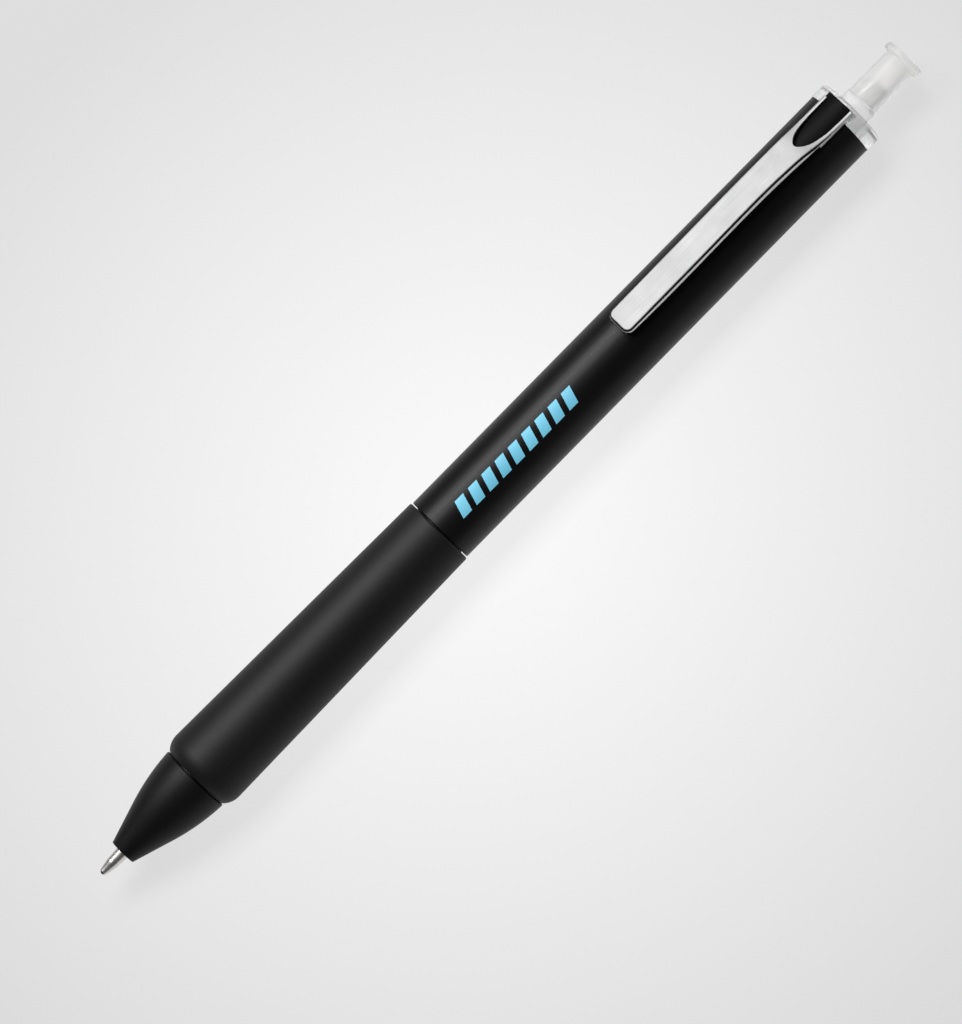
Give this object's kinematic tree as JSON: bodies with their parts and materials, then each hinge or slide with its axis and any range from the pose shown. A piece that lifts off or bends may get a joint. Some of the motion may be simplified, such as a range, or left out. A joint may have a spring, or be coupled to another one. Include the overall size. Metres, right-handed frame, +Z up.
{
  "type": "retractable ballpoint pen",
  "caption": "Click-action ballpoint pen: tapered nose cone, swelling rubber grip, slim round barrel, folded sheet clip, frosted push button and replaceable refill.",
  "frame": {"origin": "centre of the bounding box's foot: on the surface the grip lies on, midway between the point and the button's end; the pen's axis is 5.5 mm above it", "axes": "+X along the pen from the writing point to the push button, +Z up through the clip, +Y across"},
  "size_m": [0.1432, 0.011, 0.0118],
  "materials": {
    "black_plastic": "satin moulded",
    "grip_rubber": "matte soft touch",
    "nose_plastic": "satin moulded",
    "clip_steel": "brushed bright",
    "clear_plastic": "clear polished",
    "frosted_plastic": "frosted translucent",
    "plunger_plastic": "translucent natural",
    "cam_plastic": "natural moulded",
    "rotor_plastic": "natural moulded",
    "spring_steel": "drawn wire",
    "point_metal": "nickel silver, turned",
    "ball_metal": "polished carbide, ink wetted",
    "holder_plastic": "natural moulded",
    "tube_plastic": "translucent extruded",
    "ink": "wet ink",
    "grease": "clear grease",
    "plug_plastic": "natural moulded"
  },
  "bodies": {
    "barrel": {"barrel": "black_plastic", "nose_cone": "nose_plastic", "grip_sleeve": "grip_rubber", "collar": "clear_plastic", "cam_guide": "cam_plastic", "return_spring": "spring_steel"},
    "clip": {"clip": "clip_steel"},
    "button": {"button": "frosted_plastic", "plunger_cam": "plunger_plastic"},
    "refill": {"tip_socket": "point_metal", "tip_holder": "holder_plastic", "ink_tube": "tube_plastic", "ink_column": "ink", "grease_follower": "grease", "refill_end_plug": "plug_plastic"},
    "rotor": {"rotor_cam": "rotor_plastic"},
    "ball": {"writing_ball": "ball_metal"}
  },
  "joints": [
    {"name": "button_press", "type": "slide", "parent": "barrel", "child": "button", "axis": [1, 0, 0], "range_m": [-0.0014, 0.0046], "stiffness_N_per_m": 300},
    {"name": "refill_slide", "type": "slide", "parent": "barrel", "child": "refill", "axis": [1, 0, 0], "range_m": [-0.0014, 0.0046], "deforming": ["return_spring"]},
    {"name": "rotor_turn", "type": "hinge", "parent": "refill", "child": "rotor", "pos_m": [0.04035, 0, 0.0055], "axis": [1, 0, 0], "range_deg": [-10.51, 34.51]},
    {"name": "ball_roll", "type": "hinge", "parent": "refill", "child": "ball", "pos_m": [-0.07125, 0, 0.0055], "axis": [0, 1, 0], "continuous": true},
    {"name": "clip_flex", "type": "hinge", "parent": "barrel", "child": "clip", "pos_m": [0.06025, 0, 0.00955], "axis": [0, 1, 0], "range_deg": [0, 3], "stiffness_Nm_per_rad": 2.2}
  ],
  "couplings": [
    {"joint": "refill_slide", "follows": "button_press", "ratio": 1},
    {"joint": "rotor_turn", "follows": "button_press", "rad_per_m": 130.9}
  ]
}
